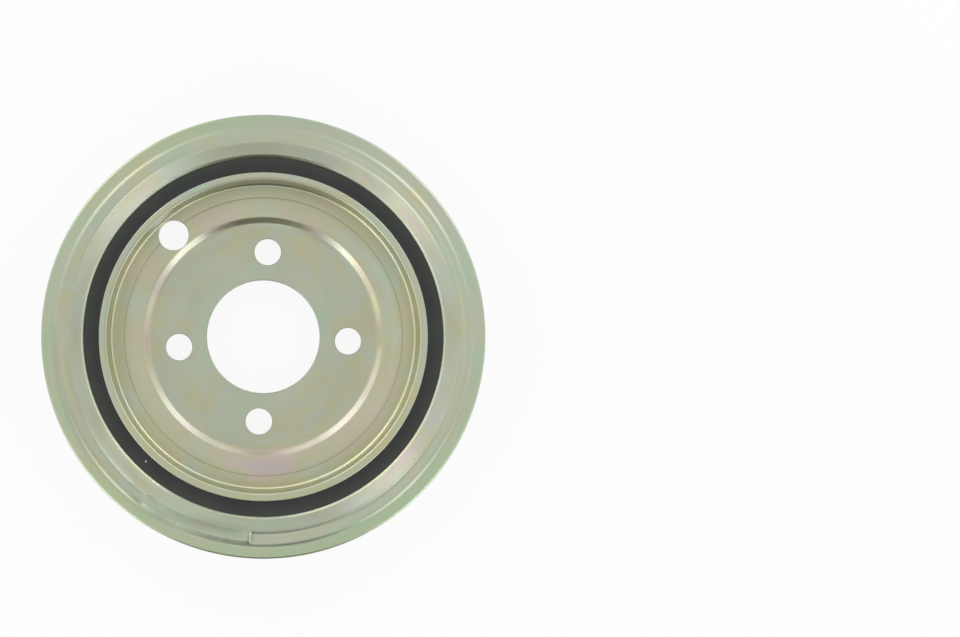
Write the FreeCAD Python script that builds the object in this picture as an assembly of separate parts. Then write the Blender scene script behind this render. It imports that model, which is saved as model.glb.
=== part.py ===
import FreeCAD, Part
import math
import os

# Crankshaft pulley with a torsional damper: a grooved inertia ring, a rubber ring and a hub with a dished front.
# Millimetres. The axis is Z, the rear end face of the inertia ring lies on z = 0 and the front faces +Z.
# Radii are built up from the crankshaft interface outwards, heights from the rear end face forwards.

# Crankshaft interface
pilot_bore_dia = 38.0
bolt_circle_dia = 57.0
bolt_hole_dia = 9.0          # clearance for an M8 bolt
one_way_offset = 10.0        # degrees: one bolt hole is moved round, so that the hub fits in one position only

# Hub, radial sizes
disc_margin = 9.45           # bolt circle to the foot of the sloped step
disc_step_run = 2.15         # radial run of the sloped step, front and rear
band_width = 10.9            # sloped step to the wall of the dish
rim_wall = 2.3

# Hub, heights
seat_inset = 4.2             # rear end face of the ring to the seat on the crankshaft
web_thickness = 4.5
disc_step_height = 1.7
dish_corner = 0.5            # slope between the floor and the wall of the dish
hub_recess = 0.6             # rim end faces below the end faces of the ring

# Timing hole, in the floor of the dish beside its wall
timing_hole_dia = 10.2
timing_clearance = 0.1       # edge of the hole to the foot of the dish corner
timing_hole_angle = 134.5

# Rubber ring
rubber_thickness = 5.0
rubber_inset = 1.0           # end faces below the end faces of the inertia ring

# Inertia ring, radial sizes
ring_wall = 13.7             # ring bore to the rib tips
outer_band_width = 3.9
middle_band_width = 4.2

# Inertia ring, face steps and edges
band_step_height = 0.4
band_step_run = 1.0
rear_edge_break = 1.5

# Pad on the middle band, flush with the land
pad_angle = 253.0
pad_sweep = 32.5

# Belt track, six grooves of the PK profile
groove_count = 6
groove_pitch = 3.56
groove_angle = 40.0
rib_tip_width = 0.9
front_flange_crest = 1.4
rear_flange_crest = 1.3

# Radii, from the crankshaft outwards
pilot_bore_radius = pilot_bore_dia / 2
bolt_circle_radius = bolt_circle_dia / 2
disc_radius = bolt_circle_radius + disc_margin
step_radius = disc_radius + disc_step_run
dish_radius = step_radius + band_width
hub_radius = dish_radius + rim_wall
ring_bore_radius = hub_radius + rubber_thickness
ring_radius = ring_bore_radius + ring_wall
middle_band_radius = ring_radius - outer_band_width
land_radius = middle_band_radius - middle_band_width
timing_circle_radius = dish_radius - dish_corner - timing_clearance - timing_hole_dia / 2

# One groove lies between two rib tips, and its flanks meet at the bottom
groove_half_width = (groove_pitch - rib_tip_width) / 2
groove_depth = groove_half_width / math.tan(math.radians(groove_angle / 2))

# Heights, from the rear end face forwards
rear_groove_height = rear_edge_break + rear_flange_crest + groove_half_width
front_groove_height = rear_groove_height + (groove_count - 1) * groove_pitch
outer_band_height = front_groove_height + groove_half_width + front_flange_crest
middle_band_height = outer_band_height + band_step_height
land_height = middle_band_height + band_step_height
disc_height = seat_inset + web_thickness
band_height = disc_height + disc_step_height
rim_front_height = land_height - hub_recess

# Cutting tools reach this far past the faces that they open
overrun = 1.0

origin = FreeCAD.Vector(0, 0, 0)
pulley_axis = FreeCAD.Vector(0, 0, 1)


# Solid of revolution about the pulley's axis, from the corners of its section as radius and height
def turned(corners, sweep=360.0):
    points = [FreeCAD.Vector(radius, 0, height) for radius, height in corners]
    outline = Part.makePolygon(points + points[:1])
    return Part.Face(outline).revolve(origin, pulley_axis, sweep)


# Tool for a through hole parallel to the axis, at an angle on a circle
def through_hole(diameter, circle_radius, angle):
    turn = math.radians(angle)
    start = FreeCAD.Vector(circle_radius * math.cos(turn), circle_radius * math.sin(turn), -overrun)
    return Part.makeCylinder(diameter / 2, land_height + 2 * overrun, start, pulley_axis)


# Corners of the V grooves between the two flanges, from front to rear
def belt_track():
    corners = []
    for groove in range(groove_count):
        centre = front_groove_height - groove * groove_pitch
        corners.append((ring_radius, centre + groove_half_width))
        corners.append((ring_radius - groove_depth, centre))
        corners.append((ring_radius, centre - groove_half_width))
    return corners


# Tool that sinks the middle band below the land all round, apart from the pad
def middle_band_tool():
    top = land_height + overrun
    slope = band_step_run / band_step_height
    band = turned([
        (land_radius, middle_band_height),
        (middle_band_radius, middle_band_height),
        (middle_band_radius, top),
        (land_radius - slope * (top - middle_band_height), top),
    ], 360.0 - pad_sweep)
    band.rotate(origin, pulley_axis, pad_angle + pad_sweep / 2)
    return band


def make_inertia_ring():
    front_face = [
        (ring_bore_radius, land_height),
        (middle_band_radius - 2 * band_step_run, land_height),
        (middle_band_radius, outer_band_height),
        (ring_radius, outer_band_height),
    ]
    rear_face = [
        (ring_radius, rear_edge_break),
        (ring_radius - rear_edge_break, 0),
        (ring_bore_radius, 0),
    ]
    return turned(front_face + belt_track() + rear_face).cut(middle_band_tool())


def make_rubber_ring():
    return turned([
        (ring_bore_radius, rubber_inset),
        (ring_bore_radius, land_height - rubber_inset),
        (hub_radius, land_height - rubber_inset),
        (hub_radius, rubber_inset),
    ])


def make_hub():
    front_side = [
        (pilot_bore_radius, disc_height),
        (disc_radius, disc_height),
        (step_radius, band_height),
        (dish_radius - dish_corner, band_height),
        (dish_radius, band_height + dish_corner),
    ]
    rim = [
        (dish_radius, rim_front_height),
        (hub_radius, rim_front_height),
        (hub_radius, hub_recess),
        (dish_radius, hub_recess),
    ]
    rear_side = [
        (dish_radius, band_height - web_thickness),
        (step_radius, band_height - web_thickness),
        (disc_radius, seat_inset),
        (pilot_bore_radius, seat_inset),
    ]
    hub = turned(front_side + rim + rear_side)
    for angle in (0.0, 90.0, 180.0 + one_way_offset, 270.0):
        hub = hub.cut(through_hole(bolt_hole_dia, bolt_circle_radius, angle))
    return hub.cut(through_hole(timing_hole_dia, timing_circle_radius, timing_hole_angle))


os.makedirs("parts", exist_ok=True)
for name, shape in (
    ("inertia_ring", make_inertia_ring()),
    ("rubber_ring", make_rubber_ring()),
    ("hub", make_hub()),
):
    shape.exportStep(os.path.join("parts", name + ".step"))
    print(name, "volume", round(shape.Volume), "solids", len(shape.Solids), "valid", shape.isValid())
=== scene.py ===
import math

import bmesh
import bpy
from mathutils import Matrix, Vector


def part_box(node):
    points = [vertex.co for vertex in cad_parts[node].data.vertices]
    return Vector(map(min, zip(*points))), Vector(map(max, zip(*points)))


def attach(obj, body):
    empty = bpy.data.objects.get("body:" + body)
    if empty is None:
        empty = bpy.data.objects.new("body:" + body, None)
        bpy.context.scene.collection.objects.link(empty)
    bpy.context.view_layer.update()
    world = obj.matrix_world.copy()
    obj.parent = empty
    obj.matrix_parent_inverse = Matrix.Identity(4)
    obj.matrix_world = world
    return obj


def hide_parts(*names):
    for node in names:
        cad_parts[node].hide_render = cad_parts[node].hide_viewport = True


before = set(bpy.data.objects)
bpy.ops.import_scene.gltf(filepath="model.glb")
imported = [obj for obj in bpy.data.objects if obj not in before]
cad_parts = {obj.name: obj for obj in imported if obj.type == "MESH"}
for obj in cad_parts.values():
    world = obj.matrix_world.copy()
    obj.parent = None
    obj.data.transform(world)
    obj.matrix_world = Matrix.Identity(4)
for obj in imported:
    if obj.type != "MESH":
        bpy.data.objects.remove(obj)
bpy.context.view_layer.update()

# Crankshaft pulley, lying flat on its rear end face and seen from straight above.
# Sizes are in millimetres. Angles are in degrees, counted from the bolt hole on +X.

mm = 0.001
ringLow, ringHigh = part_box("inertia_ring")
ringRadius = (ringHigh[0] - ringLow[0]) / 2 / mm
landHeight = ringHigh[2] / mm
print("frame loaded, rim radius", round(ringRadius, 2), "height", round(landHeight, 2))


# Linear colour from the 0 to 255 values that a screen shows
def paint(red, green, blue):
    linear = [((part / 255 + 0.055) / 1.055) ** 2.4 for part in (red, green, blue)]
    return (*linear, 1.0)


def grey(tone):
    return (tone, tone, tone, 1.0)


# A place in metres, from a radius and a height in mm and an angle in degrees
def aroundAxis(radius, angle, height=0.0):
    turn = math.radians(angle)
    return (radius * math.cos(turn) * mm, radius * math.sin(turn) * mm, height * mm)


def evenAngles(sections):
    return [360 * step / sections for step in range(sections)]


class Wire:
    # one socket of a finish, which takes part in plain arithmetic

    def __init__(self, finish, socket):
        self.finish = finish
        self.socket = socket

    def __add__(self, other):
        return self.finish.maths("ADD", self, other)

    __radd__ = __add__

    def __sub__(self, other):
        return self.finish.maths("SUBTRACT", self, other)

    def __rsub__(self, other):
        return self.finish.maths("SUBTRACT", other, self)

    def __mul__(self, other):
        return self.finish.maths("MULTIPLY", self, other)

    __rmul__ = __mul__

    def __truediv__(self, other):
        return self.finish.maths("DIVIDE", self, other)

    def __pow__(self, other):
        return self.finish.maths("POWER", self, other)


class Finish:
    # a tree of nodes: a material's, or the world's

    def __init__(self, owner):
        owner.use_nodes = True
        self.owner = owner
        self.tree = owner.node_tree
        self.tree.nodes.clear()

    def node(self, kind, settings=None, sockets=None, out=0):
        made = self.tree.nodes.new(kind)
        for name, value in (settings or {}).items():
            if name == "stops":
                self.layStops(made.color_ramp.elements, value)
            else:
                setattr(made, name, value)
        for name, value in (sockets or {}).items():
            if isinstance(value, Wire):
                self.tree.links.new(value.socket, made.inputs[name])
            else:
                made.inputs[name].default_value = value
        return Wire(self, made.outputs[out]) if made.outputs else made

    def layStops(self, elements, stops):
        while len(elements) < len(stops):
            elements.new(0.5)
        for element, (position, colour) in zip(elements, stops):
            element.position = position
            element.color = colour if isinstance(colour, tuple) else grey(colour)

    def maths(self, operation, *values):
        return self.node("ShaderNodeMath", {"operation": operation}, dict(enumerate(values)))

    def vector(self, x, y, z):
        return self.node("ShaderNodeCombineXYZ", {}, {"X": x, "Y": y, "Z": z})

    def noise(self, vector, scale, detail=2.0, roughness=0.5):
        sockets = {"Vector": vector, "Scale": scale, "Detail": detail, "Roughness": roughness}
        return self.node("ShaderNodeTexNoise", {}, sockets)

    def rise(self, value, low, high):                 # 0 below low, 1 above high, smooth between
        sockets = {"Value": value, "From Min": low, "From Max": high}
        return self.node("ShaderNodeMapRange", {"interpolation_type": "SMOOTHSTEP"}, sockets)

    def ramp(self, factor, stops):
        return self.node("ShaderNodeValToRGB", {"stops": stops}, {"Fac": factor})

    def blend(self, factor, first, second, kind="MIX"):
        settings = {"data_type": "RGBA", "blend_type": kind}
        return self.node("ShaderNodeMix", settings, {0: factor, 6: first, 7: second}, out=2)

    def surface(self, sockets):
        shader = self.node("ShaderNodeBsdfPrincipled", {}, sockets, out="BSDF")
        self.node("ShaderNodeOutputMaterial", {}, {"Surface": shader})
        return self.owner


class Turned(Finish):
    # a finish for something turned on a lathe, with its places in mm about the axis

    def __init__(self, name):
        super().__init__(bpy.data.materials.new(name))
        metres = self.node("ShaderNodeTexCoord", out="Object")
        scaling = {"operation": "SCALE"}
        self.place = self.node("ShaderNodeVectorMath", scaling, {0: metres, "Scale": 1 / mm})
        parts = self.node("ShaderNodeSeparateXYZ", {}, {"Vector": self.place}).socket.node.outputs
        self.x, self.y, self.z = [Wire(self, part) for part in parts]
        self.radius = (self.x * self.x + self.y * self.y) ** 0.5
        self.east = self.x / self.radius
        self.north = self.y / self.radius

    # noise drawn out round the axis: more turns give shorter patches, width is their breadth in mm
    def streaks(self, turns, width, detail=2.0):
        across = (self.radius + self.z) / width
        return self.noise(self.vector(self.east * turns, self.north * turns, across), 1.0, detail)

    # 1 at an angle round the axis, fading to 0 at spread degrees from it
    def towards(self, angle, spread):
        turn = math.radians(angle)
        facing = self.east * math.cos(turn) + self.north * math.sin(turn)
        return self.rise(facing, math.cos(math.radians(spread)), 1.0)

    # a value, 2 at most, that changes with the radius, from pairs of radius and value
    def overRadius(self, pairs):
        lowest, highest = pairs[0][0], pairs[-1][0]
        span = highest - lowest
        stops = [((radius - lowest) / span, value / 2) for radius, value in pairs]
        return self.ramp((self.radius - lowest) / span, stops) * 2

    # 1 on a band of radii with soft edges
    def band(self, middle, reach):
        offset = self.maths("ABSOLUTE", self.radius - middle)
        return self.rise(offset, reach, 0.0)

    # 1 at one place on the turned side, fading out round it
    def patch(self, angle, spread, radius, reach):
        return self.towards(angle, spread) * self.band(radius, reach)

    # fine rings left by the tool, as a height from 0 to 1
    def toolMarks(self, pitch):
        heightShare = 0.93                            # under 1, so that a 45 degree slope has marks too
        travel = (self.radius + self.z * heightShare) / pitch
        settings = {"noise_dimensions": "1D"}
        return self.node("ShaderNodeTexNoise", settings, {"W": travel, "Detail": 2.0})

    def bump(self, height, depth):
        return self.node("ShaderNodeBump", {}, {"Height": height, "Distance": depth * mm})


# Corners are (radius, height, rounding). Rounded ones become arcs of short straight runs.
def roundedOutline(corners, arcSteps=4):
    points = []
    for index, (radius, height, rounding) in enumerate(corners):
        here = Vector((radius, height))
        if rounding == 0:
            points.append(here)
            continue
        back = (Vector(corners[index - 1][:2]) - here).normalized()
        ahead = (Vector(corners[(index + 1) % len(corners)][:2]) - here).normalized()
        half = back.angle(ahead) / 2
        middle = here + (back + ahead).normalized() * rounding / math.sin(half)
        start = here + back * rounding / math.tan(half) - middle
        end = here + ahead * rounding / math.tan(half) - middle
        first = math.atan2(start.y, start.x)
        sweep = (math.atan2(end.y, end.x) - first + math.pi) % (2 * math.pi) - math.pi
        for step in range(arcSteps + 1):
            turn = first + sweep * step / arcSteps
            points.append(middle + Vector((math.cos(turn), math.sin(turn))) * rounding)
    return points


# Puts a finished shape into the scene as an object
def placeShape(name, shape):
    bmesh.ops.recalc_face_normals(shape, faces=shape.faces)
    mesh = bpy.data.meshes.new(name)
    shape.to_mesh(mesh)
    shape.free()
    placed = bpy.data.objects.new(name, mesh)
    bpy.context.scene.collection.objects.link(placed)
    return placed


# Turns an outline about the axis. lift gives a point's height where that depends on the angle.
def turnedPiece(name, outline, angles, lift=None):
    shape = bmesh.new()
    sections = []
    for angle in angles:
        section = []
        for point in outline:
            height = lift(point, angle) if lift else point.y
            section.append(shape.verts.new(aroundAxis(point.x, angle, height)))
        sections.append(section)
    for index, section in enumerate(sections):
        following = sections[(index + 1) % len(sections)]
        for step in range(len(section)):
            after = (step + 1) % len(section)
            shape.faces.new((section[step], section[after], following[after], following[step]))
    return placeShape(name, shape)


# Smooth shading that keeps flat faces flat and true edges sharp
def dressEdges(piece, sharpAngle=32):
    piece.data.shade_smooth()
    piece.data.set_sharp_from_angle(angle=math.radians(sharpAngle))
    modifier = piece.modifiers.new("flat_faces", "WEIGHTED_NORMAL")
    modifier.keep_sharp = True


# Gives the faces of a piece to its finishes. choose picks a finish's number by a face's centre in mm.
def shareFinishes(piece, finishes, choose=None):
    for finish in finishes:
        piece.data.materials.append(finish)
    if choose:
        for face in piece.data.polygons:
            face.material_index = choose(face.center / mm)


# Zinc plating with a yellow passivation: what all the plated finishes share
plating = {
    "filmColours": [                    # by the thickness of the film, 0 to 1
        (0.00, paint(162, 183, 160)),   # sea green
        (0.20, paint(168, 182, 159)),   # light green
        (0.40, paint(175, 180, 162)),   # sage
        (0.57, paint(178, 178, 148)),   # olive
        (0.70, paint(181, 176, 155)),   # tan
        (0.85, paint(186, 175, 161)),   # pink
        (1.00, paint(180, 171, 167)),   # lavender
    ],
    "shadowTurns": 1.1,
    "shadowWidth": 9.0,
    "lineWidth": 0.6,
    "speckScale": 1.7,
    "speckFull": 0.80,                  # noise at which a speck of grime is at its darkest
    "streakRoughness": 0.12,
    "grimeRoughness": 0.3,
    "grainScale": 2.6,
    "grainShare": 0.5,                  # grain beside the tool marks, in the relief
    "drawnTurn": 0.25,                  # a quarter turn, counted from straight round the axis
}


# Plated steel. A look gives the film and the tone over the radius, patches, and the metal's own finish.
# Patches are (angle, spread, radius, reach, amount): blushes shift the film, the tone's patches lift or lower
# the tone as painted highlights and painted shade, and yellows take blue away, or add it with a minus;
# blushes and yellows that lie on highlights are painted highlight colour. Wall shades are painted shade that
# darkens a wall, and have a height for the radius.
def platedSteel(name, look):
    finish = Turned(name)
    clouds = finish.noise(finish.place, look["cloudScale"])
    mottle = finish.noise(finish.place, look["mottleScale"])
    streaks = finish.streaks(look["turns"], look["streakWidth"])
    film = finish.overRadius(look["film"])
    film = film + (clouds - 0.5) * look["clouds"] + (mottle - 0.5) * look["mottle"]
    film = film + (streaks - 0.5) * look["streaks"]
    for angle, spread, radius, reach, shift in look["blushes"]:
        film = film + finish.patch(angle, spread, radius, reach) * shift
    colour = finish.ramp(film, plating["filmColours"])

    shadows = finish.streaks(plating["shadowTurns"], plating["shadowWidth"])
    lines = finish.streaks(look["turns"] * 2, plating["lineWidth"], 3.0)
    shade = finish.overRadius(look["tone"]) + (shadows - 0.5) * look["shadows"]
    shade = shade + (lines - 0.5) * look["lines"]
    # painted highlights and painted shade, patched onto the tone
    for angle, spread, radius, reach, shift in look["paintedLightAndShade"]:
        shade = shade + finish.patch(angle, spread, radius, reach) * shift
    # painted shade on a wall
    for angle, spread, height, reach, share in look["wallShades"]:
        beside = finish.maths("ABSOLUTE", finish.z - height)
        facing = finish.towards(angle, spread) * finish.rise(beside, reach, reach / 2)
        shade = shade * (1 - facing * share)

    specks = finish.noise(finish.place, plating["speckScale"], 3.0)
    grime = finish.rise(specks, look["speckLevel"], plating["speckFull"]) * look["specks"]
    level = shade * (1 - grime)
    blue = level
    for angle, spread, radius, reach, share in look["yellows"]:
        blue = blue * (1 - finish.patch(angle, spread, radius, reach) * share)
    colour = finish.blend(1.0, colour, finish.vector(level, level, blue), "MULTIPLY")

    roughness = look["roughness"] + (streaks - 0.5) * plating["streakRoughness"]
    marks = finish.toolMarks(look["markPitch"])
    grain = finish.noise(finish.place, plating["grainScale"], 3.0, 0.6)
    return finish.surface({
        "Base Color": colour,
        "Metallic": 1.0,
        "Roughness": roughness + grime * plating["grimeRoughness"],
        "Anisotropic": look["drawn"],
        "Anisotropic Rotation": plating["drawnTurn"],
        "Normal": finish.bump(marks + grain * plating["grainShare"], look["markDepth"]),
    })


# Inertia ring
ring = {
    "boreRadius": 58.3,
    "lipRun": 0.7,                  # sloped edge where the land meets the bore
    "lipDrop": 0.75,
    "lipRoundings": (0.15, 0.3),    # at the bore and at the land
    "lipFinish": 0.6,               # the lip's finish reaches this far from the bore
    "wallFinish": 0.1,              # faces this close to the bore's radius are its wall
    "rearChamfer": 0.4,
    "chamferRounding": 0.1,
    "landEdge": 62.9,
    "stepRun": 1.0,
    "stepHeight": 0.4,
    "stepRounding": 2.4,
    "middleEdge": 68.1,
    "frontRounding": 0.75,
    "frontTurnover": 0.5,           # the face's finish goes this far down the rim
    "rearRounding": 2.0,
    "frontCrest": 1.4,
    "tipWidth": 0.9,
    "tipRounding": 0.25,
    "groovePitch": 3.56,
    "grooveCount": 6,
    "grooveAngle": 40.0,
    "bottomRounding": 0.45,
    "padAngle": 253.0,
    "padSweep": 32.5,
    "padRuns": (0.45, 1.3),         # degrees over which its right and left ends slope down
    "padOverlap": 0.5,              # it rises from this far inside the land's edge
    "browMargin": 0.2,              # points of the outline beside the pad's brow
    "sections": 640,
}
outerBandHeight = landHeight - 2 * ring["stepHeight"]
padBrow = ring["middleEdge"] - 2 * ring["stepRun"]      # where the pad's outer slope begins
slack = 0.01                        # a face or point this close to a height lies on it


# Outline of the ring: front face from the bore outwards, belt track from front to rear, rear face
def ringOutline():
    bore, chamfer = ring["boreRadius"], ring["rearChamfer"]
    run, drop, easing = ring["stepRun"], ring["stepHeight"], ring["stepRounding"]
    land, middle, margin = ring["landEdge"], ring["middleEdge"], ring["browMargin"]
    atBore, atLand = ring["lipRoundings"]
    corners = [
        (bore, landHeight - ring["lipDrop"], atBore),
        (bore + ring["lipRun"], landHeight, atLand),
        (land, landHeight, easing),
        (land + run, landHeight - drop, easing),
        (padBrow - margin, landHeight - drop, 0),
        (padBrow + margin, landHeight - drop, 0),
        (middle - run, landHeight - drop, easing),
        (middle, outerBandHeight, easing),
        (ringRadius, outerBandHeight, ring["frontRounding"]),
    ]
    halfWidth = (ring["groovePitch"] - ring["tipWidth"]) / 2
    depth = halfWidth / math.tan(math.radians(ring["grooveAngle"] / 2))
    centre = outerBandHeight - ring["frontCrest"] - halfWidth
    for groove in range(ring["grooveCount"]):
        corners.append((ringRadius, centre + halfWidth, ring["tipRounding"]))
        corners.append((ringRadius - depth, centre, ring["bottomRounding"]))
        corners.append((ringRadius, centre - halfWidth, ring["tipRounding"]))
        centre -= ring["groovePitch"]
    corners += [
        (ringRadius, 0, ring["rearRounding"]),
        (bore + chamfer, 0, ring["chamferRounding"]),
        (bore, chamfer, ring["chamferRounding"]),
    ]
    return roundedOutline(corners)


# The pad stands on the middle band, flush with the land
def padLift(point, angle):
    onFront = point.y > outerBandHeight - slack
    if not onFront or not ring["landEdge"] - ring["padOverlap"] < point.x < ring["middleEdge"]:
        return point.y
    beside = (angle - ring["padAngle"] + 180) % 360 - 180
    run = ring["padRuns"][0 if beside > 0 else 1]
    share = min(1.0, max(0.0, 0.5 - (abs(beside) - ring["padSweep"] / 2) / run))
    slope = ring["stepHeight"] / ring["stepRun"]
    padHeight = landHeight - max(0.0, point.x - padBrow) * slope
    return point.y + (max(point.y, padHeight) - point.y) * share


# Even angles, and one at the top and the foot of each end of the pad
def ringAngles():
    angles = evenAngles(ring["sections"])
    for side, run in zip((1, -1), ring["padRuns"]):
        end = ring["padAngle"] + side * ring["padSweep"] / 2
        angles += [end - run / 2, end + run / 2]
    return sorted(angles)


# The ring's looks. The last three say only where they differ from the land's.
landLook = {
    "film": [(58.0, 0.42), (60.5, 0.45), (63.4, 0.43)],
    "tone": [(58.0, 1.28), (75.0, 1.28)],
    "cloudScale": 0.07,
    "clouds": 0.42,
    "mottleScale": 0.20,
    "mottle": 0.20,
    "turns": 5.0,                   # the more turns, the shorter the streaks
    "streakWidth": 3.4,
    "streaks": 0.44,
    # the blushes at 48, 140 and 318 degrees lie on the lamps' highlights and tint them pink: painted
    # highlight colour
    "blushes": [
        (140, 26, 61.5, 3.5, 0.12),
        (48, 24, 61.0, 3.5, 0.20),
        (318, 18, 60.5, 3.5, 0.32),
        (270, 30, 61.0, 3.5, -0.16),
    ],
    # painted shade and painted light on the land, where the lamps' highlights show weaker or stronger
    "paintedLightAndShade": [
        (222, 30, 61.0, 5.0, -0.28),
        (93, 30, 61.0, 5.0, -0.12),
        (262, 34, 61.0, 5.0, 0.18),
        (260, 12, 63.0, 3.0, -0.18),
        (178, 26, 61.0, 5.0, -0.13),
        (236, 22, 61.0, 5.0, -0.10),
        (56, 7, 61.0, 5.0, -0.16),
    ],
    "wallShades": [],
    # these add blue on the lamps' highlights, so that they show whiter: painted highlight colour
    "yellows": [
        (46, 40, 61.0, 4.5, -0.14),
        (319, 40, 61.0, 4.5, -0.16),
        (142, 34, 61.0, 4.5, -0.10),
    ],
    "shadows": 0.16,
    "lines": 0.10,
    "specks": 0.05,
    "speckLevel": 0.68,             # noise above which there is grime
    "roughness": 0.50,
    "drawn": 0.96,                  # how far the highlights are drawn out
    "markPitch": 0.22,
    "markDepth": 0.006,
}
lipLook = dict(
    landLook,
    tone=[(58.0, 1.50), (59.6, 1.50)],
    # painted shade over the lip's highlights and at its foot towards the top, and painted light where it
    # mirrors the dark flag's edge
    paintedLightAndShade=[
        (138, 30, 58.8, 4.0, -0.42),
        (172, 14, 58.8, 4.0, -0.20),
        (52, 16, 58.8, 4.0, -0.44),
        (252, 14, 58.8, 4.0, -0.46),
        (288, 12, 58.8, 4.0, 0.22),
        (226, 30, 58.8, 4.0, -0.14),
        (94, 24, 58.2, 0.8, -0.5),
        (76, 13, 58.8, 4.0, 0.95),
        (110, 12, 58.8, 4.0, 0.45),
    ],
    roughness=0.28,
    drawn=0.3,
    markDepth=0.002,
)
faceLook = dict(
    landLook,
    film=[(62.4, 0.42), (66.5, 0.40), (67.9, 0.34), (70.0, 0.27), (72.0, 0.25)],
    tone=[(62.0, 1.0), (63.4, 0.95), (64.6, 1.0), (68.2, 1.0), (72.0, 0.99)],
    # painted shade and painted highlights on the face: most dim or brighten the highlights on the steps and
    # at the pad
    paintedLightAndShade=[
        (228, 34, 66.5, 4.5, -0.10),
        (160, 30, 66.0, 4.0, -0.06),
        (138, 50, 63.4, 1.6, -0.10),
        (216, 36, 63.4, 1.6, -0.18),
        (255, 20, 64.0, 2.4, -0.12),
        (315, 24, 63.6, 1.6, -0.18),
        (326, 30, 67.6, 1.6, -0.14),
        (264, 20, 67.6, 1.4, 0.22),
        (256, 13, 66.8, 1.2, 0.42),
        (266, 3.2, 66.8, 1.2, 0.5),
        (240, 9, 67.2, 1.6, -0.2),
        (259, 10, 62.9, 1.6, -0.14),
        (241, 7, 63.6, 2.0, 0.14),
        (235, 6, 63.4, 1.6, -0.13),
        (269.25, 1.2, 65.5, 3.5, -0.25),
        (38, 60, 65.2, 1.3, 0.08),
        (200, 26, 67.6, 1.6, -0.16),
        (277, 18, 63.4, 1.6, 0.20),
        (230, 26, 67.6, 1.6, -0.08),
        (266, 6, 63.4, 1.4, -0.11),
        (303, 10, 63.4, 1.4, -0.06),
        (303, 10, 67.6, 1.4, -0.07),
        (265, 6, 67.6, 1.2, 0.10),
    ],
    yellows=[(285, 90, 70.2, 4.5, 0.12), (205, 50, 70.2, 4.5, 0.10), (128, 40, 70.2, 4.5, 0.14)],
    clouds=0.64,
    mottle=0.34,
    streaks=0.55,
    blushes=[
        (185, 40, 65.5, 3.0, 0.12),
        (300, 40, 70.0, 3.0, -0.15),
        (58, 40, 70.0, 3.0, 0.08),
        (135, 30, 70.0, 3.0, 0.08),
        (252, 30, 65.0, 3.5, -0.15),
    ],
    roughness=0.36,
    drawn=0.45,
)
trackLook = dict(
    landLook,
    film=[(66.0, 0.62), (68.5, 0.58), (70.5, 0.54), (71.8, 0.50)],
    tone=[(66.0, 0.70), (69.2, 0.70), (69.8, 0.96), (71.2, 1.0), (71.9, 1.14)],
    blushes=[],
    paintedLightAndShade=[],
    yellows=[],
    lines=0.24,
    specks=0.60,
    speckLevel=0.58,
    roughness=0.40,
    drawn=0.5,
    markPitch=0.15,
    markDepth=0.008,
)

ringFinishes = [
    platedSteel("plated land", landLook),
    platedSteel("plated ring face", faceLook),
    platedSteel("plated belt track", trackLook),
    platedSteel("plated lip", lipLook),
]


# Number of the finish in ringFinishes. The bore's wall and the rear are finished as the face is.
def ringFinish(centre):
    land, face, track, lip = range(len(ringFinishes))
    bore, radius = ring["boreRadius"], centre.xy.length
    onFront = centre.z > outerBandHeight - slack
    if onFront and radius < bore + ring["lipFinish"]:
        return lip
    if onFront and radius < ring["landEdge"]:
        return land
    turnedOver = centre.z > outerBandHeight - ring["frontTurnover"]
    if turnedOver or centre.z < slack or radius < bore + ring["wallFinish"]:
        return face
    return track


inertiaRing = turnedPiece("plated_inertia_ring", ringOutline(), ringAngles(), padLift)
shareFinishes(inertiaRing, ringFinishes, ringFinish)
dressEdges(inertiaRing)
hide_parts("inertia_ring")
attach(inertiaRing, "root")
print("inertia ring made,", len(inertiaRing.data.polygons), "faces")


# Rubber ring, with faces that the mould left slightly hollow
rubber = {
    "innerRadius": 53.3,
    "outerRadius": 58.3,
    "frontInner": 1.35,             # below the land, at the hub
    "frontOuter": 1.1,              # below the land, at the ring
    "rearInset": 1.1,
    "hollow": 0.35,
    "hollowSteps": 14,
    "sections": 540,
}


def rubberOutline():
    front = []
    rear = []
    width = rubber["outerRadius"] - rubber["innerRadius"]
    fall = rubber["frontOuter"] - rubber["frontInner"]
    for step in range(rubber["hollowSteps"] + 1):
        share = step / rubber["hollowSteps"]
        radius = rubber["innerRadius"] + width * share
        sag = rubber["hollow"] * (1 - (2 * share - 1) ** 4)
        front.append(Vector((radius, landHeight - rubber["frontInner"] - fall * share - sag)))
        rear.append(Vector((radius, rubber["rearInset"] + sag)))
    return front + rear[::-1]


rubberLook = {
    "dark": paint(35, 37, 37),
    "dusty": paint(52, 56, 50),
    "bloomScale": 0.09,
    "skinScale": 1.8,
    "edgeMargin": 1.0,              # the outer side's dust begins this far from the hub
    "dustShares": (0.6, 0.25, 0.35),        # of the bloom, the skin and the outer side
    "dustRange": (0.35, 0.85),
    "roughness": 0.62,
    "dustRoughness": 0.12,
    "gloss": 0.4,
    "markTurns": 3.0,
    "markWidth": 0.8,
    "markShare": 0.6,
    "markDepth": 0.02,
    "chip": (229.7, 55.5, 0.45),    # angle, radius and size of a pale chip in the skin
    "chipInset": 1.4,
    "chipColour": paint(190, 188, 178),
}


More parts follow.
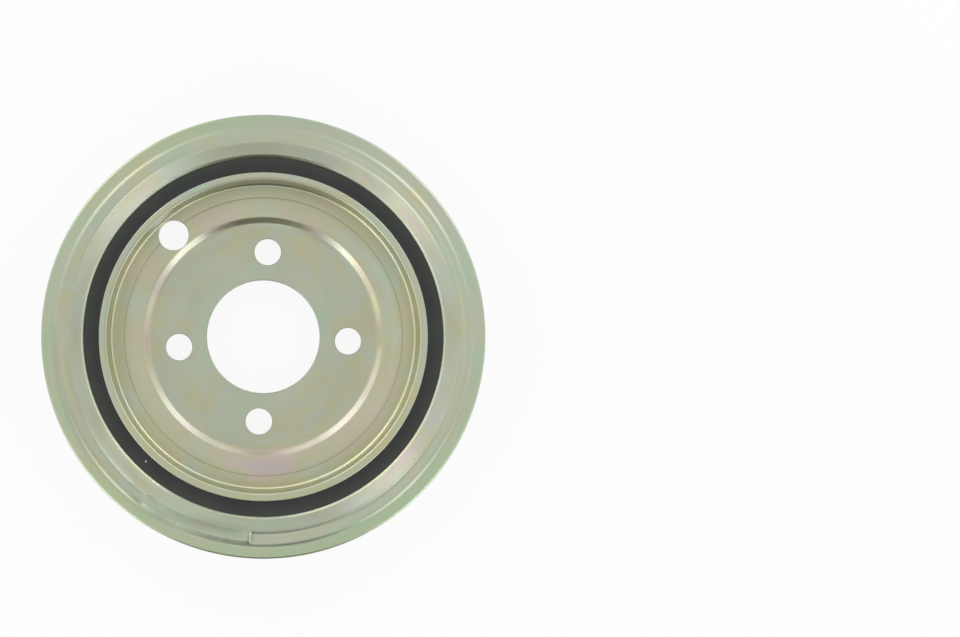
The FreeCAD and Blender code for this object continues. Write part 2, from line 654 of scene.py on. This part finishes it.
def dampingRubber(name, look):
    finish = Turned(name)
    bloom = finish.noise(finish.place, look["bloomScale"], 3.0)
    skin = finish.noise(finish.place, look["skinScale"], 3.0, 0.6)
    clean = rubber["innerRadius"] + look["edgeMargin"]
    outer = finish.rise(finish.radius, clean, rubber["outerRadius"])
    ofBloom, ofSkin, ofOuter = look["dustShares"]
    dust = finish.rise(bloom * ofBloom + skin * ofSkin + outer * ofOuter, *look["dustRange"])
    colour = finish.blend(dust, look["dark"], look["dusty"])

    angle, radius, size = look["chip"]
    middle = Vector(aroundAxis(radius, angle, landHeight - look["chipInset"])) / mm
    measure = {"operation": "DISTANCE"}
    away = finish.node("ShaderNodeVectorMath", measure, {0: finish.place, 1: middle}, out="Value")
    colour = finish.blend(finish.rise(away, size, size / 2), colour, look["chipColour"])

    marks = finish.streaks(look["markTurns"], look["markWidth"])
    return finish.surface({
        "Base Color": colour,
        "Roughness": look["roughness"] + dust * look["dustRoughness"],
        "Specular IOR Level": look["gloss"],
        "Normal": finish.bump(skin + marks * look["markShare"], look["markDepth"]),
    })


rubberRing = turnedPiece("moulded_rubber_ring", rubberOutline(), evenAngles(rubber["sections"]))
shareFinishes(rubberRing, [dampingRubber("damping rubber", rubberLook)])
dressEdges(rubberRing)
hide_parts("rubber_ring")
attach(rubberRing, "root")
print("rubber ring made,", len(rubberRing.data.polygons), "faces")


# Hub
hub = {
    "boreRadius": 19.0,
    "boreChamfer": 0.15,
    "boreRounding": 0.06,
    "seatHeight": 4.2,
    "webThickness": 4.5,
    "stepFoot": 37.95,
    "stepRun": 2.15,
    "stepHeight": 1.7,
    "footRounding": 2.2,
    "edgeRounding": 2.0,
    "lineRadius": 46.7,             # a fine line turned into the band
    "lineWidth": 1.0,
    "lineDepth": 0.05,
    "lineRounding": 0.1,
    "dishRadius": 51.0,
    "dishFillet": 0.75,
    "rearFillet": 1.2,
    "rimLean": 0.25,                # the wall leans in by this at its top
    "rimInset": 0.6,
    "rimRounding": 0.35,
    "rimOuterRounding": 0.3,
    "rimRearRounding": 0.5,
    "rimRadius": 53.3,
    "boltCircle": 28.5,
    "boltRadius": 4.5,
    "boltAngles": (0, 90, 190, 270),
    "timingCircle": 45.3,
    "timingRadius": 5.1,
    "timingAngle": 134.5,
    "holeChamfer": 0.12,
    "holeSides": 96,
    "arcSteps": 5,
    "sections": 540,
}
seatHeight = hub["seatHeight"]
discHeight = seatHeight + hub["webThickness"]
bandRear = seatHeight + hub["stepHeight"]
bandFront = discHeight + hub["stepHeight"]


# Outline of the hub: front side from the bore outwards, rim, rear side back to the bore
def hubOutline():
    bore, chamfer, brink = hub["boreRadius"], hub["boreChamfer"], hub["boreRounding"]
    foot, shoulder = hub["stepFoot"], hub["stepFoot"] + hub["stepRun"]
    line, half, easing = hub["lineRadius"], hub["lineWidth"] / 2, hub["lineRounding"]
    dish, rim, outer = hub["dishRadius"], hub["rimRadius"], hub["rimOuterRounding"]
    rimFront, rimRear = landHeight - hub["rimInset"], hub["rimInset"]
    return roundedOutline([
        (bore, discHeight - chamfer, brink),
        (bore + chamfer, discHeight, brink),
        (foot, discHeight, hub["footRounding"]),
        (shoulder, bandFront, hub["edgeRounding"]),
        (line - half, bandFront, easing),
        (line, bandFront - hub["lineDepth"], easing),
        (line + half, bandFront, easing),
        (dish, bandFront, hub["dishFillet"]),
        (dish - hub["rimLean"], rimFront, hub["rimRounding"]),
        (rim, rimFront, outer),
        (rim, rimRear, outer),
        (dish, rimRear, hub["rimRearRounding"]),
        (dish, bandRear, hub["rearFillet"]),
        (shoulder, bandRear, hub["footRounding"]),
        (foot, seatHeight, hub["edgeRounding"]),
        (bore + chamfer, seatHeight, brink),
        (bore, seatHeight + chamfer, brink),
    ], hub["arcSteps"])


# Tool for a hole through the web, with a small chamfer at both faces
def holeTool(name, radius, low, high):
    chamfer = hub["holeChamfer"]
    over = 0.02                     # the chamfer's cone ends this far past the face
    reach = 2.0                     # and the tool this far
    wide = radius + chamfer + over
    outline = [
        (0.0, low - reach),
        (wide, low - reach),
        (wide, low - over),
        (radius, low + chamfer),
        (radius, high - chamfer),
        (wide, high + over),
        (wide, high + reach),
        (0.0, high + reach),
    ]
    shape = bmesh.new()
    rings = []
    for away, height in outline:
        angles = evenAngles(hub["holeSides"]) if away else [0.0]
        rings.append([shape.verts.new(aroundAxis(away, angle, height)) for angle in angles])
    for lower, upper in zip(rings, rings[1:]):
        for side in range(hub["holeSides"]):
            after = (side + 1) % hub["holeSides"]
            if len(lower) == 1:
                shape.faces.new((lower[0], upper[after], upper[side]))
            elif len(upper) == 1:
                shape.faces.new((lower[side], lower[after], upper[0]))
            else:
                shape.faces.new((lower[side], lower[after], upper[after], upper[side]))
    return placeShape(name, shape)


# Cuts a hole at a place on a circle about the axis, and leaves no modifier behind
def pierce(piece, tool, circle, angle):
    tool.location = aroundAxis(circle, angle)
    modifier = piece.modifiers.new("hole", "BOOLEAN")
    modifier.object = tool
    modifier.solver = "EXACT"
    bpy.context.view_layer.update()
    seen = piece.evaluated_get(bpy.context.evaluated_depsgraph_get())
    pierced = bpy.data.meshes.new_from_object(seen)
    piece.modifiers.remove(modifier)
    piece.data = pierced


hubLook = {
    "film": [
        (19.0, 0.30), (23.0, 0.38), (30.0, 0.46), (37.3, 0.48), (38.4, 0.64), (39.8, 0.66),
        (41.0, 0.57), (46.3, 0.58), (47.2, 0.56), (50.6, 0.55), (51.3, 0.50), (52.1, 0.45),
        (53.6, 0.44),
    ],
    # the tone rises from 47.6 mm to the wall, most on the fillet at its foot: painted light against the shade
    # by the wall, and a painted highlight on the fillet
    "tone": [
        (19.0, 0.94), (39.4, 0.94), (41.0, 1.03), (45.8, 1.04), (46.5, 0.98), (46.9, 0.98),
        (47.6, 1.07), (50.2, 1.07), (50.7, 1.22), (51.0, 1.22), (51.3, 0.98), (52.1, 1.0),
    ],
    "cloudScale": 0.07,
    "clouds": 0.68,
    "mottleScale": 0.20,
    "mottle": 0.32,
    "turns": 3.4,
    "streakWidth": 4.0,
    "streaks": 0.46,
    "blushes": [
        (269, 24, 43.0, 4.5, 0.30),
        (322, 18, 43.0, 4.5, 0.10),
        (112, 16, 43.0, 4.0, 0.12),
        (215, 30, 46.5, 5.0, 0.10),
        (20, 40, 44.0, 5.0, -0.16),
        (168, 12, 43.0, 5.0, -0.16),
        (95, 18, 22.0, 6.0, -0.18),
        (190, 16, 30.0, 9.0, -0.12),
        (80, 40, 52.4, 1.6, -0.14),
    ],
    # painted highlights and painted shade: they brighten or dim the step's highlight, the fillet and the
    # band, darken the wall at the top, and dim the wall's mirror image of the floor seen through the timing
    # hole
    "paintedLightAndShade": [
        (93, 40, 51.0, 0.7, -0.24),
        (318, 44, 50.5, 0.8, 0.20),
        (2, 44, 50.4, 0.8, 0.12),
        (182, 28, 47.8, 3.0, -0.10),
        (2, 50, 44.5, 2.6, 0.08),
        (84, 22, 38.9, 2.2, 0.26),
        (118, 9, 38.9, 2.0, -0.24),
        (65, 16, 38.8, 2.8, -0.20),
        (154, 12, 38.8, 2.8, -0.16),
        (258, 12, 39.2, 1.4, 0.12),
        (288, 14, 39.2, 1.4, 0.16),
        (348, 14, 39.2, 1.4, 0.18),
        (276, 34, 50.5, 0.5, 0.36),
        (136, 14, 50.7, 0.7, -0.35),
        (226, 34, 38.9, 2.2, -0.11),
        (138, 85, 51.4, 0.5, -0.16),
        (17, 9, 38.9, 2.2, 0.09),
        (34, 9, 38.9, 2.2, -0.08),
        (33, 12, 50.9, 0.7, -0.09),
        (273, 9, 50.9, 0.7, 0.14),
    ],
    # the ones with a minus, on the step, make its highlights whiter: painted highlight colour
    "yellows": [
        (290, 80, 52.4, 1.8, 0.14),
        (138, 32, 38.9, 2.2, -0.22),
        (228, 34, 38.9, 2.2, -0.18),
        (318, 34, 38.9, 2.2, -0.14),
        (55, 14, 38.9, 2.2, -0.16),
    ],
    "wallShades": [(93, 50, 18.0, 6.5, 0.30), (281, 50, 18.0, 6.5, 0.20)],
    "shadows": 0.16,
    "lines": 0.05,
    "specks": 0.06,
    "speckLevel": 0.68,
    "roughness": 0.34,
    "drawn": 0.2,
    "markPitch": 0.30,
    "markDepth": 0.005,
}


platedHub = turnedPiece("plated_hub", hubOutline(), evenAngles(hub["sections"]))
boltTool = holeTool("bolt_hole_tool", hub["boltRadius"], seatHeight, discHeight)
for boltAngle in hub["boltAngles"]:
    pierce(platedHub, boltTool, hub["boltCircle"], boltAngle)
timingTool = holeTool("timing_hole_tool", hub["timingRadius"], bandRear, bandFront)
pierce(platedHub, timingTool, hub["timingCircle"], hub["timingAngle"])
for tool in (boltTool, timingTool):
    bpy.data.objects.remove(tool)
shareFinishes(platedHub, [platedSteel("plated hub", hubLook)])
dressEdges(platedHub)
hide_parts("hub")
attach(platedHub, "root")
print("hub made,", len(platedHub.data.polygons), "faces")


# Studio: floor, soft lamps over the corners, a dark flag below the picture, and the camera
studio = {
    "floorSize": 6000.0,
    "floorTone": 0.82,
    "floorGlow": 0.90,              # share of plain white that shows to the camera and in the metal
    "lampDistance": 560.0,
    "lamps": (                      # angle, width, height of the middle, depth and power
        (46, 230, 300, 330, 0.94),
        (137, 230, 300, 330, 0.94),
        (228, 240, 300, 330, 0.98),
        (314, 220, 300, 330, 1.14),
    ),
    "lowLamps": (                   # wide and faint, under the others
        (48, 700, 210, 230, 0.42),
        (139, 820, 210, 230, 0.42),
        (214, 500, 210, 230, 0.42),
        (336, 440, 210, 230, 0.42),
    ),
    "lampGlow": 6.6,                # watts from a square metre
    "skyTone": 0.72,                # the room's light on matt things
    "flagDistance": 580.0,
    "flagWidth": 540.0,
    "flagHeight": 680.0,
    "flagAngle": 273,
    "flagTone": 0.05,
    "cameraHeight": 456.0,          # above the land of the ring
    "cameraRoll": 3.0,
    "lens": 52.92,
    "sensor": 36.0,
    "imageSize": (960, 637),
    "pulleyPixel": (263.3, 336.8),  # where the axis stands in the picture
}


def flatPanel(name, width, depth):
    mesh = bpy.data.meshes.new(name)
    x, y = width / 2 * mm, depth / 2 * mm
    mesh.from_pydata([(-x, -y, 0), (x, -y, 0), (x, y, 0), (-x, y, 0)], [], [(0, 1, 2, 3)])
    panel = bpy.data.objects.new(name, mesh)
    bpy.context.scene.collection.objects.link(panel)
    return panel


# 1 for what the camera, a reflection or glass sees
def plainSight(finish):
    path = finish.node("ShaderNodeLightPath", out="Is Camera Ray")
    outputs = path.socket.node.outputs
    mirrored = Wire(finish, outputs["Is Glossy Ray"])
    passed = Wire(finish, outputs["Is Transmission Ray"])
    return finish.maths("MINIMUM", path + mirrored + passed, 1.0)


def paleFloor():
    floor = flatPanel("floor", studio["floorSize"], studio["floorSize"])
    finish = Finish(bpy.data.materials.new("pale floor"))
    matt = finish.node("ShaderNodeBsdfDiffuse", {}, {"Color": grey(studio["floorTone"])})
    glow = finish.node("ShaderNodeEmission", {}, {"Color": grey(1.0), "Strength": 1.0})
    share = plainSight(finish) * studio["floorGlow"]
    mixed = finish.node("ShaderNodeMixShader", {}, {0: share, 1: matt, 2: glow})
    finish.node("ShaderNodeOutputMaterial", {}, {"Surface": mixed})
    floor.data.materials.append(finish.owner)


# A dark card that only the metal sees, as the open side of a light tent
def darkFlag():
    flag = flatPanel("dark_flag", studio["flagWidth"], studio["flagHeight"])
    angle = studio["flagAngle"]
    flag.location = aroundAxis(studio["flagDistance"], angle, studio["flagHeight"] / 2)
    flag.rotation_euler = (math.radians(90), 0, math.radians(angle + 90))
    flag.visible_camera = False
    flag.visible_diffuse = False
    flag.visible_shadow = False
    finish = Finish(bpy.data.materials.new("flag cloth"))
    cloth = finish.node("ShaderNodeBsdfDiffuse", {}, {"Color": grey(studio["flagTone"])})
    finish.node("ShaderNodeOutputMaterial", {}, {"Surface": cloth})
    flag.data.materials.append(finish.owner)


def roomLight():
    world = bpy.data.worlds.new("studio room")
    bpy.context.scene.world = world
    finish = Finish(world)
    tone = studio["skyTone"]
    strength = tone + plainSight(finish) * (1 - tone)
    room = finish.node("ShaderNodeBackground", {}, {"Color": grey(1.0), "Strength": strength})
    finish.node("ShaderNodeOutputWorld", {}, {"Surface": room})


def cornerLamps():
    for angle, width, height, depth, power in studio["lamps"] + studio["lowLamps"]:
        light = bpy.data.lights.new("corner lamp", "AREA")
        light.shape = "RECTANGLE"
        light.size = width * mm
        light.size_y = depth * mm
        light.energy = studio["lampGlow"] * power * light.size * light.size_y
        lamp = bpy.data.objects.new("corner_lamp", light)
        bpy.context.scene.collection.objects.link(lamp)
        place = Vector(aroundAxis(studio["lampDistance"], angle, height))
        lamp.location = place
        lamp.rotation_euler = place.to_track_quat("Z", "Y").to_euler()


def placeCamera():
    data = bpy.data.cameras.new("camera")
    data.lens = studio["lens"]
    data.sensor_width = studio["sensor"]
    wide, high = studio["imageSize"]
    column, row = studio["pulleyPixel"]
    data.shift_x = (wide / 2 - column) / wide
    data.shift_y = (row - high / 2) / wide
    camera = bpy.data.objects.new("camera", data)
    camera.location = (0, 0, (landHeight + studio["cameraHeight"]) * mm)
    camera.rotation_euler = (0, 0, math.radians(studio["cameraRoll"]))
    bpy.context.scene.collection.objects.link(camera)
    bpy.context.scene.camera = camera


paleFloor()
darkFlag()
roomLight()
cornerLamps()
placeCamera()
bpy.context.scene.view_settings.view_transform = "Standard"
print("studio set")
